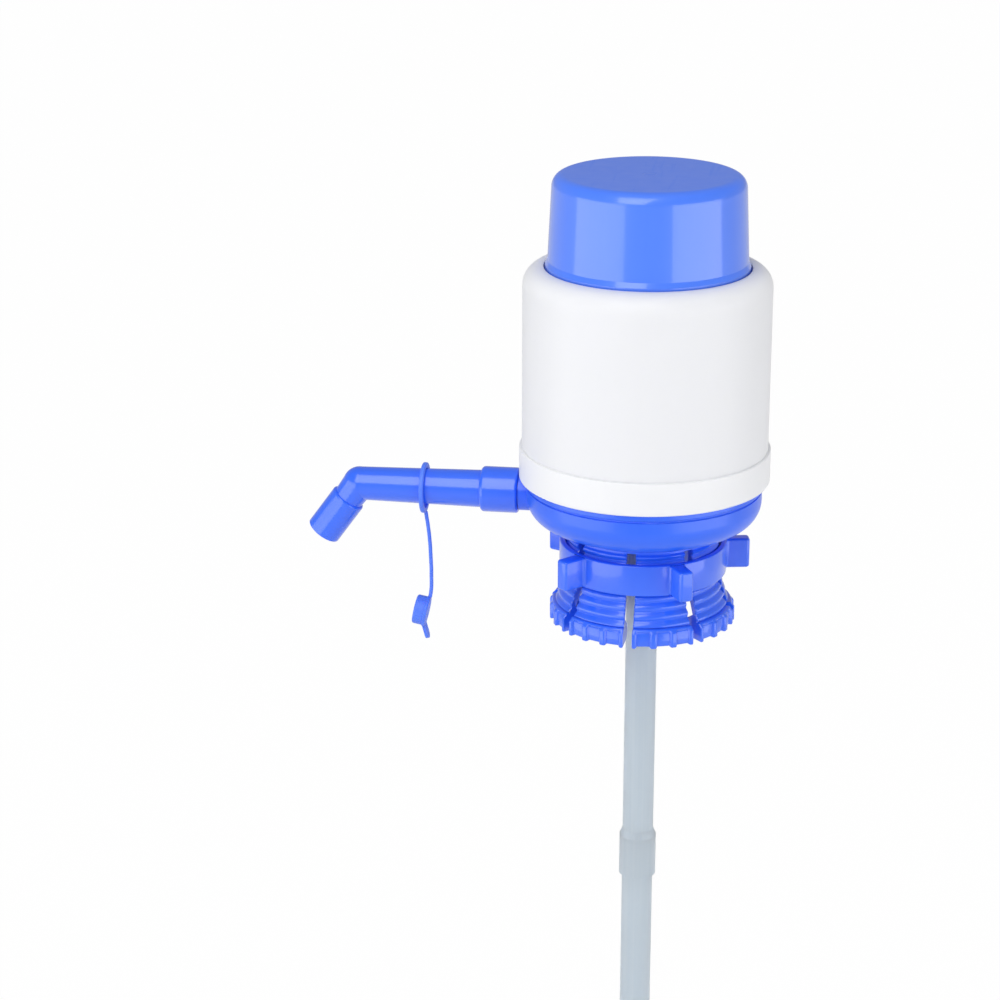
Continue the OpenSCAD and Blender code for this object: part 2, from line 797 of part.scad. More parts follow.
module intake_foot() {
    end_z = tube_top_z - 2 * (section_l - joint_l) - section_l;
    foot_in_r = tube_r + slide_gap / 2;
    foot_out_r = foot_in_r + 1.4;
    notch_h = 6;
    notch_w = 3;
    sleeve_h = 12;
    color(blue) translate([0, 0, end_z - notch_h]) difference() {
        rotate_extrude() outer_rounded(0, foot_out_r, 0, notch_h + sleeve_h, 0, 0.8);
        translate([0, 0, notch_h]) cylinder(h = sleeve_h + 1, r = foot_in_r);
        translate([0, 0, -1]) cylinder(h = notch_h + 2, r = tube_in_r);
        // Notches keep the intake open when it stands on the jug's floor
        around(4) translate([2, -notch_w / 2, -1]) cube([foot_out_r, notch_w, notch_h - 0.5]);
    }
}

// ---------- tether ----------

module tether_loop() {
    loop_r = loop_d / 2;
    edge = 0.5;
    color("lightblue") translate([-loop_x, 0, loop_z]) rotate([0, 90, 0]) rotate_extrude() {
        translate([loop_in_r, -loop_w / 2 + edge]) square([loop_r - loop_in_r, loop_w - 2 * edge]);
        translate([loop_in_r + edge, -loop_w / 2]) square([loop_r - loop_in_r - 2 * edge, loop_w]);
        for (r = [loop_in_r + edge, loop_r - edge]) for (side = [-1, 1])
            translate([r, side * (loop_w / 2 - edge)]) circle(edge, $fn = 24);
    }
}

// Route of the strap: down from the loop, bowed towards the barrel, to the plug's flange.
strap_route = [[-90.6, strap_top_z], [-90.3, -1.5], [-89.9, -4], [-89.6, -6.5], [-89.3, -9],
    [-89.1, -11.5], [-88.9, -14], [-88.8, -16.5], [-88.7, -19], [-88.6, -21.5], [-88.5, -24],
    [-88.5, -26.5], [-88.5, -29], [-88.5, -31.5], [-88.7, -34.2], [-89.1, -36.9]];

function direction(route, i) =
    let (a = route[max(i - 1, 0)], b = route[min(i + 1, len(route) - 1)]) (b - a) / norm(b - a);

module tether_strap() {
    sides = 8;
    rings = [for (i = [0 : len(strap_route) - 1])
        let (p = strap_route[i], d = direction(strap_route, i))
        [for (j = [0 : sides - 1])
            let (a = 360 * j / sides, u = strap_d / 2 * cos(a), v = strap_d / 2 * sin(a))
            [p[0] - d[1] * u, v, p[1] + d[0] * u]]];
    color("lightblue") swept_tube(rings, sides);
}

module dust_plug() {
    flange_r = 6.6;
    flange_t = 1.5;
    flange_low = -2.8;
    plug_l = 4.2;
    plug_wall = 1.6;
    floor_t = 0.8;
    tab_l = 4.2;
    tab_w = 4.4;
    tab_t = 1.3;
    tab_bend = 26;
    color("lightblue") translate(plug_pos) rotate([0, plug_tilt, 0]) rotate([0, -90, 0])
        translate([0, 0, flange_low]) {
            difference() {
                rotate_extrude() {
                    outer_rounded(0, flange_r, 0, flange_t, 0.6, 0.4);
                    outer_rounded(0, plug_d / 2, flange_t / 2, flange_t + plug_l, 0, 0.8);
                }
                translate([0, 0, flange_t + floor_t]) cylinder(h = plug_l, r = plug_d / 2 - plug_wall);
            }
            // Pull tab below the flange, bent outwards and rounded at its end
            translate([1 - flange_r, 0, 0]) rotate([0, -tab_bend, 0]) {
                translate([-tab_l, -tab_w / 2, 0]) cube([tab_l, tab_w, tab_t]);
                translate([-tab_l, 0, 0]) cylinder(h = tab_t, r = tab_w / 2);
            }
        }
}

pump_base();
barrel();
neck_collet();
clamp_ring();
lip_gasket();
valve_deck();
deck_seal();
deck_screws();
bellows();
bellows_clamp_ring();
return_spring();
air_outlet_valve();
press_cap();
bellows_plate();
air_inlet_valve();
tube_seal();
spout_seal();
spout_tube();
spout_nozzle();
dip_tube_upper();
dip_tube_middle();
dip_tube_lower();
intake_foot();
tether_loop();
tether_strap();
dust_plug();
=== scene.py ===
"""Hand pump: glossy blue and milky white mouldings over a sprung bellows."""
import json
import math

import bmesh
import bpy
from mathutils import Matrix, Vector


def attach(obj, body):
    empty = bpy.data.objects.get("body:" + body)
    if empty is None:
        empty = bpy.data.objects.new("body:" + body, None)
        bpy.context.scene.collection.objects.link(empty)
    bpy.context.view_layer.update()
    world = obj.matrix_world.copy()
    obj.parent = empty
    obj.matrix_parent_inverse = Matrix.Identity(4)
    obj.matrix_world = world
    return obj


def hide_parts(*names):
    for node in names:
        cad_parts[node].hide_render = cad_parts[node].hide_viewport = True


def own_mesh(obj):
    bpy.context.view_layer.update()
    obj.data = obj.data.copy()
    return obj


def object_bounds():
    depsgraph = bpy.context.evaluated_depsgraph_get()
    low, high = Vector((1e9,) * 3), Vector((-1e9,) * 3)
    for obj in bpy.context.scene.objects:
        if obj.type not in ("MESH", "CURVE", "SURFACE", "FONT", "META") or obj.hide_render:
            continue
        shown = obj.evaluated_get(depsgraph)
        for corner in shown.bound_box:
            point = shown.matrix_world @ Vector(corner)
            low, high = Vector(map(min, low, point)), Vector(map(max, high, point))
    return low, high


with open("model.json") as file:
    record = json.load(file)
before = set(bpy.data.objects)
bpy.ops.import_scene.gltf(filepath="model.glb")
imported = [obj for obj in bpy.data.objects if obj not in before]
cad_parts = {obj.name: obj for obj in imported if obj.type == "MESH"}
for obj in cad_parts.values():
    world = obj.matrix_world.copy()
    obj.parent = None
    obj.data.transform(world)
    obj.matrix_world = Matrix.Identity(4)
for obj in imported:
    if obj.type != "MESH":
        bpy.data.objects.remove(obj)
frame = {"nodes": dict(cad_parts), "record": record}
CAD_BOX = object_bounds()
MM = 0.001

# ---------- sizes, in metres, that follow the solids ----------

RUNNING_GAP = 0.3 * MM

# Cap, barrel and spout, for marks on their surfaces
CAP_TOP_Z = 146 * MM
FOOT_BAND_TOP_Z = 34.2 * MM
SPOUT_NEAR_X = -51.4 * MM
GRIP_FROM_R = 38.5 * MM
BOWL_LOW_Z = -4 * MM

# Neck collet
JAWS = 8
SLOT_W = 3.7 * MM
SLOT_TURN = math.radians(41.5)
COLLET_TOP_Z = 2 * MM
COLLET_TOP_R = 32.2 * MM
COLLET_BORE_R = 27.9 * MM
SLOT_TOP_Z = -2.2 * MM
THREAD_ROOT_R = 30.8 * MM
THREAD_DEPTH = 1.0 * MM
THREAD_TOP_Z = -4.1 * MM
THREAD_START = 0.97
THREAD_GAP = 0.3 * MM
RIDGE_PITCH = 3.5 * MM
RIDGES = 8
RIDGE_STEPS = 12
RIDGE_ROUND = 0.15
RIDGE_FADE = 0.8 * MM
FLARE_Z = -19.6 * MM
FLARE_SLOPE = 0.33
FOOT_Z = -39.6 * MM
FOOT_R = 37.2 * MM
FOOT_RIBS = 24
FOOT_RIB_OUT = 1.1 * MM
FOOT_RIB_DROP = 0.6 * MM
FOOT_RIB_FROM = 0.68
FOOT_RIB_RISE = 0.18
JAW_STEPS = 60
JAW_EDGE = 0.35 * MM
COLLAR_EDGE = 0.5 * MM
GRIP_R = 26.4 * MM

# Clamp ring
RING_R = 34.4 * MM
RING_LOW_Z = -19 * MM
RING_H = 12.9 * MM
RING_TURN = math.radians(11)
LUGS = 5
LUG_TIP_R = 44 * MM
LUG_W = 6 * MM
LUG_INSET = 0.2 * MM
LUG_CORNER = 1.4 * MM
LUG_ROOT = 1.2 * MM
LUG_SINK = 1 * MM
LUG_BITE = 0.2 * MM
LUG_SOFT = 1 * MM
RING_EDGE = 0.6 * MM
GROOVE_D = 0.5 * MM

# Bellows and spring
DECK_Z = 25 * MM
PLATE_Z = 129.6 * MM
PLATE_T = 2.2 * MM
SPRING_R = 14 * MM
WIRE_D = 1.8 * MM
SPRING_TURNS = 10
BELLOWS_R = 33.6 * MM
FOLDS = 12
FOLD_DEPTH = 6 * MM
BELLOWS_WALL = 1.1 * MM
BEAD_T = 1.8 * MM
FOOT_BEAD_R = 38.1 * MM
FOOT_BEAD_IN_R = 30.4 * MM
CUFF_R = 33 * MM
CUFF_IN_R = 31.9 * MM
CAP_BEAD_R = 26.5 * MM
CAP_BEAD_T = 2 * MM
CUFF_EASE = 2.2 * MM
LOW_CUFF = 3.6 * MM
HIGH_CUFF = 2.6 * MM
STEPS_PER_FOLD = 8
FOLD_BEND = 0.94
BELLOWS_STEPS = 96
WIRE_STEPS = 32
WIRE_SIDES = 12

# Tether
STRAP_D = 1.6 * MM
# Route of the strap in the plane of the spout, x and z
STRAP_ROUTE = [(-0.0906, 0.0008), (-0.0903, -0.0015), (-0.0899, -0.004), (-0.0896, -0.0065),
               (-0.0893, -0.009), (-0.0891, -0.0115), (-0.0889, -0.014), (-0.0888, -0.0165),
               (-0.0887, -0.019), (-0.0886, -0.0215), (-0.0885, -0.024), (-0.0885, -0.0265),
               (-0.0885, -0.029), (-0.0885, -0.0315), (-0.0887, -0.0342), (-0.0891, -0.0369)]


# ---------- camera ----------

PHOTO_PX = 1000
FOCAL_PX = 2700
SENSOR_MM = 36
CAMERA_DISTANCE = 1.0484
CAMERA_HEIGHT = 0.3678
CAMERA_ROUND = math.radians(5.0)
CAMERA_PITCH = math.radians(18.854)
CAMERA_YAW = math.radians(3.22)


def make_camera():
    """The photograph's viewpoint: a little above the cap, turned by the spout's angle."""
    data = bpy.data.cameras.new("camera")
    data.sensor_width = SENSOR_MM
    data.lens = FOCAL_PX / PHOTO_PX * SENSOR_MM
    data.clip_end = 50
    camera = bpy.data.objects.new("camera", data)
    camera.location = (CAMERA_DISTANCE * math.sin(CAMERA_ROUND),
                       -CAMERA_DISTANCE * math.cos(CAMERA_ROUND), CAMERA_HEIGHT)
    camera.rotation_euler = (math.pi / 2 - CAMERA_PITCH, 0, CAMERA_ROUND + CAMERA_YAW)
    bpy.context.collection.objects.link(camera)
    bpy.context.scene.camera = camera


# ---------- node trees ----------

class Signal:
    """A number inside a node tree. Arithmetic on it adds Math nodes to that tree."""

    def __init__(self, tree, socket):
        self.tree = tree
        self.socket = socket

    def math(self, operation, first, second=0.0):
        made = self.tree.node("ShaderNodeMath", {"operation": operation}, {0: first, 1: second})
        return Signal(self.tree, made.outputs[0])

    def __add__(self, other):
        return self.math("ADD", self, other)

    def __radd__(self, other):
        return self.math("ADD", other, self)

    def __sub__(self, other):
        return self.math("SUBTRACT", self, other)

    def __rsub__(self, other):
        return self.math("SUBTRACT", other, self)

    def __mul__(self, other):
        return self.math("MULTIPLY", self, other)

    def __rmul__(self, other):
        return self.math("MULTIPLY", other, self)

    def __truediv__(self, other):
        return self.math("DIVIDE", self, other)

    def size(self):
        return self.math("ABSOLUTE", self)

    def sine(self):
        return self.math("SINE", self)

    def cosine(self):
        return self.math("COSINE", self)

    def at_least(self, floor):
        return self.math("MAXIMUM", self, floor)

    def at_most(self, ceiling):
        return self.math("MINIMUM", self, ceiling)


class Tree:
    """Adds nodes to a node tree: a type, its settings, then its sockets' values or links."""

    def __init__(self, nodes):
        self.nodes = nodes

    def node(self, kind, settings, sockets):
        made = self.nodes.nodes.new(kind)
        for key, value in settings.items():
            setattr(made, key, value)
        for key, value in sockets.items():
            if isinstance(value, Signal):
                value = value.socket
            if isinstance(value, bpy.types.NodeSocket):
                self.nodes.links.new(value, made.inputs[key])
            else:
                made.inputs[key].default_value = value
        return made

    def signal(self, kind, settings, sockets, output=0):
        return Signal(self, self.node(kind, settings, sockets).outputs[output])


class Finish(Tree):
    """One material: its node tree, its shader and what the finishes share."""

    def __init__(self, name, **constants):
        self.material = bpy.data.materials.new(name)
        self.material.use_nodes = True
        super().__init__(self.material.node_tree)
        self.nodes.nodes.clear()
        named = {key.replace("_", " "): value for key, value in constants.items()}
        self.shader = self.node("ShaderNodeBsdfPrincipled", {}, named)
        self.end = self.node("ShaderNodeOutputMaterial", {}, {"Surface": self.shader.outputs[0]})
        self.place = self.node("ShaderNodeTexCoord", {}, {}).outputs["Object"]

    def stretched(self, scale):
        return self.node("ShaderNodeMapping", {}, {"Vector": self.place, "Scale": scale}).outputs[0]

    def noise(self, per_metre, detail=2.0, stretch=(1, 1, 1)):
        return self.signal("ShaderNodeTexNoise", {}, {
            "Vector": self.stretched(stretch), "Scale": per_metre, "Detail": detail})

    def axis(self, name):
        return self.signal("ShaderNodeSeparateXYZ", {}, {0: self.place}, name)

    def radius(self):
        """Distance from the pump's axis."""
        flat = self.stretched((1, 1, 0))
        return self.signal("ShaderNodeVectorMath", {"operation": "LENGTH"}, {0: flat}, "Value")

    def above(self, value, start, width):
        """0 where the value is below the start, 1 from start + width on, smooth between."""
        return self.signal("ShaderNodeMapRange", {"interpolation_type": "SMOOTHSTEP"}, {
            "Value": value, "From Min": start, "From Max": start + width})

    def line(self, value, half_width):
        """1 on the line where the value is 0, falling to 0 at its half width."""
        return 1 - self.above(value.size(), 0, half_width)

    def blend(self, amount, first, second):
        made = self.node("ShaderNodeMix", {"data_type": "RGBA"}, {0: amount, 6: first, 7: second})
        return made.outputs[2]

    def set(self, name, value):
        socket = value.socket if isinstance(value, Signal) else value
        self.nodes.links.new(socket, self.shader.inputs[name])

    def bump(self, height, depth):
        made = self.node("ShaderNodeBump", {}, {"Height": height, "Distance": depth})
        self.set("Normal", made.outputs[0])


class Shape(Tree):
    """A Geometry Nodes tree with named inputs, ready to be run on an object."""

    KINDS = {int: "NodeSocketInt", float: "NodeSocketFloat"}

    def __init__(self, name, **sizes):
        group = bpy.data.node_groups.new(name, "GeometryNodeTree")
        super().__init__(group)
        self.values = {"material": None, **sizes}
        self.keys = {}
        side = group.interface.new_socket
        side(name="Geometry", in_out="OUTPUT", socket_type="NodeSocketGeometry")
        side(name="Geometry", in_out="INPUT", socket_type="NodeSocketGeometry")
        for key, value in self.values.items():
            kind = self.KINDS.get(type(value), "NodeSocketObject")
            if key == "material":
                kind = "NodeSocketMaterial"
            self.keys[key] = side(name=key, in_out="INPUT", socket_type=kind).identifier
        self.start = self.node("NodeGroupInput", {}, {})

    def size(self, name):
        return Signal(self, self.start.outputs[name])

    def run(self, geometry, carrier, name, material):
        """Ends the tree, runs it on the carrier and returns the result as a plain mesh piece."""
        real = self.node("GeometryNodeRealizeInstances", {}, {"Geometry": geometry})
        dressed = self.node("GeometryNodeSetMaterial", {}, {
            "Geometry": real.outputs[0], "Material": self.start.outputs["material"]})
        self.node("NodeGroupOutput", {}, {"Geometry": dressed.outputs[0]})
        modifier = carrier.modifiers.new(name, "NODES")
        modifier.node_group = self.nodes
        for key, value in {**self.values, "material": material}.items():
            modifier[self.keys[key]] = value
        graph = bpy.context.evaluated_depsgraph_get()
        data = bpy.data.meshes.new_from_object(carrier.evaluated_get(graph))
        bpy.data.objects.remove(carrier)
        return link(name, data)


# ---------- finishes ----------

def colour(red, green, blue):
    """A colour as the photograph shows it, 0 to 255, turned into the shader's linear values."""
    def linear(c):
        return c / 12.92 if c <= 0.04045 else ((c + 0.055) / 1.055) ** 2.4
    return (linear(red / 255), linear(green / 255), linear(blue / 255), 1)


def moulding(finish, low, high, rough, wear=0.0, relief=0.0):
    """What every moulding shares: a cloudy colour, draw lines, uneven gloss, orange peel.

    Wear adds to the roughness. Relief adds to the surface, in hundredths of a millimetre."""
    cloud = finish.noise(28)
    draw = finish.noise(420, detail=2.0, stretch=(1, 1, 0.02))
    scuff = finish.noise(170, detail=5.0)
    peel = finish.noise(700, detail=1.0)
    finish.set("Base Color", finish.blend(cloud * 0.7 + draw * 0.3, low, high))
    finish.set("Roughness", rough - 0.06 + scuff * 0.1 + draw * 0.03 + wear)
    finish.bump(peel * 0.6 + draw * 0.25 + relief, 0.01 * MM)
    return finish.material


def glossy_blue(name):
    return Finish(name, IOR=1.5, Coat_Weight=0.9, Coat_IOR=1.5, Coat_Roughness=0.1)


def blue_plastic():
    """Glossy blue, duller on the bowl, with a parting line on the spout and lugs dulled by wear."""
    finish = glossy_blue("blue_plastic")
    on_lugs = finish.above(finish.radius(), GRIP_FROM_R, 3 * MM) * finish.above(
        0 - finish.axis("Z"), 5 * MM, 1 * MM) * finish.above(finish.axis("X"), -50 * MM, 2 * MM)
    on_spout = 1 - finish.above(finish.axis("X"), SPOUT_NEAR_X, 0.2 * MM)
    parting = finish.line(finish.axis("Y"), 0.12 * MM) * on_spout
    on_bowl = finish.above(finish.axis("Z"), BOWL_LOW_Z, 1 * MM) * (1 - on_spout)
    finish.set("Coat Weight", 0.9 - on_bowl * 0.6)
    return moulding(finish, colour(34, 100, 248), colour(44, 108, 252), 0.32,
                    wear=on_lugs * 0.1, relief=parting * 5.0)


def cap_plastic():
    """The cap's lighter blue: duller and finely scratched on top, with the mould's gate mark."""
    finish = glossy_blue("cap_blue")
    radius = finish.radius()
    on_top = finish.above(finish.axis("Z"), CAP_TOP_Z - 3 * MM, 2 * MM)
    scratches = finish.above(finish.noise(380, detail=3.0, stretch=(1, 0.05, 1)), 0.58, 0.12) \
        + finish.above(finish.noise(300, detail=3.0, stretch=(0.06, 1, 1)), 0.62, 0.12)
    gate = on_top * (finish.line(radius - 2.6 * MM, 0.5 * MM) - finish.line(radius, 1.2 * MM))
    finish.set("Coat Weight", 0.9 - on_top * 0.6)
    return moulding(finish, colour(66, 122, 250), colour(76, 130, 253), 0.32,
                    wear=on_top * scratches * 0.05, relief=gate * -12.0)


def white_plastic():
    """Milky barrel: whiter on its thicker foot band and greyer above it, partly from the thin wall and
    partly painted shade of the parts inside; a mottled painted shade lies along the step above the band.
    """
    finish = Finish("white_plastic", IOR=1.35, Subsurface_Weight=0.3, Subsurface_Scale=0.004,
                    Subsurface_Radius=(1.0, 1.0, 1.1))
    height = finish.axis("Z")
    streaks = finish.noise(36, detail=3.0, stretch=(1, 1, 0.15))
    # Above the foot band the shell takes a greyer, bluer tone: partly the thin milky wall, partly painted
    # shade of the bellows inside.
    thin_wall_and_inner_shade = finish.above(height, FOOT_BAND_TOP_Z, 1 * MM)
    shell_tone_and_inner_shade = finish.blend(streaks, colour(233, 234, 239), colour(238, 239, 243))
    # Painted shade: a mottled grey line along the crease of the step above the foot band.
    step_shade = finish.line(height - FOOT_BAND_TOP_Z - 0.2 * MM, 0.7 * MM) * finish.noise(240, detail=4.0)
    scuffs = finish.above(finish.noise(310, detail=5.0, stretch=(1, 1, 0.4)), 0.62, 0.12)
    moulding(finish, colour(238, 239, 243), colour(242, 243, 246), 0.38, wear=scuffs * 0.14)
    plain = finish.shader.inputs["Base Color"].links[0].from_socket
    finish.set("Base Color", finish.blend(step_shade * 0.3, finish.blend(thin_wall_and_inner_shade, plain, shell_tone_and_inner_shade),
                                          colour(176, 178, 184)))
    return finish.material


def inner_plastic():
    finish = Finish("inner_plastic", IOR=1.5)
    return moulding(finish, colour(225, 226, 228), colour(232, 233, 235), 0.5)


def tether_plastic():
    """Soft moulding with a parting line in the plane of the spout."""
    finish = Finish("tether_soft", IOR=1.45, Subsurface_Weight=0.1, Subsurface_Scale=0.001)
    parting = finish.line(finish.axis("Y"), 0.12 * MM)
    return moulding(finish, colour(80, 122, 246), colour(90, 132, 250), 0.42, relief=parting * 5.0)


def soft_white():
    finish = Finish("soft_white", IOR=1.42)
    return moulding(finish, colour(226, 227, 228), colour(234, 235, 236), 0.6)


def bellows_rubber():
    """Soft rubber, rubbed paler on the outer folds, with talc left in the inner ones."""
    finish = Finish("bellows_rubber", IOR=1.45)
    crest = finish.above(finish.radius(), BELLOWS_R - FOLD_DEPTH * 0.6, FOLD_DEPTH * 0.6)
    talc = (1 - crest) * finish.above(finish.noise(260, detail=4.0), 0.5, 0.2)
    moulding(finish, colour(168, 181, 199), colour(180, 192, 208), 0.5, wear=talc * 0.2)
    plain = finish.shader.inputs["Base Color"].links[0].from_socket
    rubbed = finish.blend(crest * 0.6, plain, colour(198, 207, 219))
    finish.set("Base Color", finish.blend(talc * 0.6, rubbed, colour(222, 225, 228)))
    return finish.material


def dark_rubber():
    finish = Finish("dark_rubber", IOR=1.5)
    return moulding(finish, colour(32, 32, 34), colour(42, 42, 44), 0.62)


def drawn_steel():
    finish = Finish("steel", Metallic=1.0)
    streak = finish.noise(600, detail=3.0, stretch=(1, 1, 0.2))
    finish.set("Base Color", finish.blend(streak, colour(172, 174, 178), colour(204, 206, 209)))
    finish.set("Roughness", 0.22 + streak * 0.14)
    return finish.material


def tube_plastic():
    """Extruded tube: clouded, half see-through, with fine lines along its length."""
    finish = Finish("tube_plastic", IOR=1.45, Transmission_Weight=0.5)
    lines = finish.noise(900, detail=2.0, stretch=(1, 1, 0.01))
    finish.set("Base Color", finish.blend(lines, colour(216, 228, 238), colour(232, 240, 246)))
    finish.set("Roughness", 0.26 + lines * 0.12)
    finish.bump(lines, 0.02 * MM)
    return finish.material


def make_finishes():
    return {"blue_plastic": blue_plastic(), "cap_blue": cap_plastic(), "white_plastic": white_plastic(),
            "inner_plastic": inner_plastic(), "soft_white": soft_white(),
            "dark_rubber": dark_rubber(), "bellows_rubber": bellows_rubber(),
            "steel": drawn_steel(), "tube_plastic": tube_plastic(), "tether_soft": tether_plastic()}


def dress_solids(finishes):
    """Each node takes the finish of its slot in the record; the cap's blue is a lighter one."""
    for row in frame["record"]["subparts"]:
        node = row["node"]
        data = frame["nodes"][node].data
        data.materials.clear()
        data.materials.append(finishes["cap_blue" if node == "press_cap" else row["material_slot"]])


# ---------- mesh helpers ----------

def link(name, data):
    piece = bpy.data.objects.new(name, data)
    bpy.context.collection.objects.link(piece)
    return piece


def piece_from(name, work, sharp=math.radians(40)):
    """A mesh piece from a bmesh: doubles merged, faces outward, smooth but for sharp edges."""
    bmesh.ops.remove_doubles(work, verts=work.verts, dist=0.001 * MM)
    bmesh.ops.recalc_face_normals(work, faces=work.faces)
    data = bpy.data.meshes.new(name)
    work.to_mesh(data)
    work.free()
    data.shade_smooth()
    data.set_sharp_from_angle(angle=sharp)
    return link(name, data)


def arc(centre_r, centre_z, radius, first_deg, last_deg, steps=5):
    """Points of a rounded corner in a section, from one direction to another."""
    turns = [math.radians(first_deg + (last_deg - first_deg) * i / steps) for i in range(steps + 1)]
    return [(centre_r + radius * math.cos(t), centre_z + radius * math.sin(t)) for t in turns]


def loft(work, sections, closed):
    """Skins a row of closed sections, each a list of points, into the bmesh."""
    rows = [[work.verts.new(p) for p in section] for section in sections]
    count = len(rows[0])
    pairs = list(zip(rows, rows[1:]))
    if closed:
        pairs.append((rows[-1], rows[0]))
    for here, there in pairs:
        for j in range(count):
            k = (j + 1) % count
            work.faces.new((here[j], there[j], there[k], here[k]))
    return rows


def lathe(name, outline, steps=160):
    """A ring from a closed outline of (radius, height) points, turned about Z."""
    work = bmesh.new()
    turns = [2 * math.pi * i / steps for i in range(steps)]
    loft(work, [[(r * math.cos(t), r * math.sin(t), z) for r, z in outline] for t in turns], True)
    return piece_from(name, work)


# ---------- pieces ----------

def repeat_around(carrier, piece, count, first, name, material):
    """The carrier with a piece repeated about Z, as one mesh."""
    shape = Shape("repeat_around", piece=piece, count=count, first=first)
    spots = shape.node("GeometryNodeMeshLine", {}, {
        "Count": shape.size("count"), "Offset": (0, 0, 0)})
    turn = shape.size("first") + shape.signal("GeometryNodeInputIndex", {}, {}) * (2 * math.pi) \
        / shape.size("count")
    turned = shape.node("ShaderNodeCombineXYZ", {}, {"Z": turn})
    source = shape.node("GeometryNodeObjectInfo", {"transform_space": "ORIGINAL"}, {
        "Object": shape.start.outputs["piece"]})
    copies = shape.node("GeometryNodeInstanceOnPoints", {}, {
        "Points": spots.outputs[0], "Instance": source.outputs["Geometry"],
        "Rotation": turned.outputs[0]})
    both = shape.node("GeometryNodeJoinGeometry", {}, {})
    shape.nodes.links.new(shape.start.outputs["Geometry"], both.inputs[0])
    shape.nodes.links.new(copies.outputs[0], both.inputs[0])
    made = shape.run(both.outputs[0], carrier, name, material)
    bpy.data.objects.remove(piece)
    return made


def lug_piece():
    """One lug of the clamp ring, along +X: rounded tip, concave roots, softened edges."""
    half = LUG_W / 2
    start = RING_R - LUG_BITE
    side = [(RING_R - LUG_SINK, half + LUG_ROOT)]
    side += arc(start + LUG_ROOT, half + LUG_ROOT, LUG_ROOT, 180, 270)
    side += arc(LUG_TIP_R - LUG_CORNER, half - LUG_CORNER, LUG_CORNER, 90, 0)
    outline = side + [(x, -y) for x, y in reversed(side)]
    low = RING_LOW_Z + LUG_INSET
    high = RING_LOW_Z + RING_H - LUG_INSET
    work = bmesh.new()
    rows = loft(work, [[(x, y, z) for x, y in outline] for z in (low, high)], False)
    work.faces.new(rows[0])
    work.faces.new(rows[1])
    bmesh.ops.remove_doubles(work, verts=work.verts, dist=0.001 * MM)
    bmesh.ops.recalc_face_normals(work, faces=work.faces)
    edges = [e for e in work.edges if abs(e.verts[0].co.z - e.verts[1].co.z) < 0.01 * MM]
    bmesh.ops.bevel(work, geom=edges, offset=LUG_SOFT, segments=4, profile=0.5, affect="EDGES")
    return piece_from("lug", work)


def make_clamp_ring(finishes):
    """The ring's band, grooved inside for the collet's thread, with its lugs."""
    inner = THREAD_ROOT_R + THREAD_DEPTH + RUNNING_GAP
    top = RING_LOW_Z + RING_H
    outline = arc(RING_R - RING_EDGE, RING_LOW_Z + RING_EDGE, RING_EDGE, -90, 0)
    outline += arc(RING_R - RING_EDGE, top - RING_EDGE, RING_EDGE, 0, 90)
    outline += [(inner + 0.3 * MM, top), (inner, top - 0.3 * MM)]
    z = top - 1.0 * MM
    while z - 2.2 * MM > RING_LOW_Z:
        outline += [(inner, z), (inner + GROOVE_D, z - GROOVE_D), (inner + GROOVE_D, z - 3 * GROOVE_D),
                    (inner, z - 4 * GROOVE_D)]
        z -= RIDGE_PITCH
    outline += [(inner, RING_LOW_Z + 0.3 * MM), (inner + 0.3 * MM, RING_LOW_Z)]
    band = lathe("band", outline)
    ring = repeat_around(band, lug_piece(), LUGS, RING_TURN, "clamp_ring_lugged",
                         finishes["blue_plastic"])
    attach(ring, "clamp_ring")
    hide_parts("clamp_ring")


def thread_root(z):
    """Root radius of the collet's thread: straight above, flared below."""
    return THREAD_ROOT_R + max(0.0, FLARE_Z - z) * FLARE_SLOPE


def jaw_section(turn):
    """Section of a jaw at an angle about Z: the right-hand thread climbs one pitch a turn."""
    drop = RIDGE_PITCH * (THREAD_START - (turn - SLOT_TURN) / (2 * math.pi))
    thread_top = SLOT_TOP_Z - THREAD_GAP
    thread_low = THREAD_TOP_Z - RIDGES * RIDGE_PITCH
    points = [(COLLET_BORE_R, SLOT_TOP_Z + 0.5 * MM), (THREAD_ROOT_R, SLOT_TOP_Z + 0.5 * MM)]
    for i in range(-2 * RIDGE_STEPS, RIDGES * RIDGE_STEPS):
        along = i / RIDGE_STEPS
        z = THREAD_TOP_Z - along * RIDGE_PITCH - drop
        out = THREAD_DEPTH * (math.hypot(math.sin(math.pi * along), RIDGE_ROUND) - RIDGE_ROUND)
        fade = max(0.0, min(1.0, (thread_top - z) / RIDGE_FADE))
        z = max(thread_low, min(thread_top, z))
        points.append((thread_root(z) + out * fade, z))
    wave = 0.5 + 0.5 * math.cos(FOOT_RIBS * (turn - SLOT_TURN))
    rib = max(0.0, min(1.0, (wave - FOOT_RIB_FROM) / FOOT_RIB_RISE))
    rib = rib * rib * (3 - 2 * rib)
    reach = FOOT_R + FOOT_RIB_OUT * rib
    low = FOOT_Z - FOOT_RIB_DROP * rib
    foot_top = thread_low - 0.2 * MM
    points += [(thread_root(thread_low) + 0.2 * MM, foot_top)]
    points += arc(FOOT_R - 0.8 * MM, foot_top - 0.8 * MM, 0.8 * MM, 90, 10, 4)
    points += [(reach - 0.3 * MM, foot_top - 1.4 * MM), (reach, foot_top - 1.9 * MM)]
    points += arc(reach - 0.6 * MM, low + 0.6 * MM, 0.6 * MM, 0, -90, 4)
    points += [(GRIP_R + 1.5 * MM, low), (GRIP_R, FOOT_Z + 1.5 * MM), (GRIP_R, FOOT_Z + 6 * MM),
               (thread_root(thread_low) - 3 * MM, thread_low + 2 * MM), (COLLET_BORE_R, FLARE_Z)]
    return points


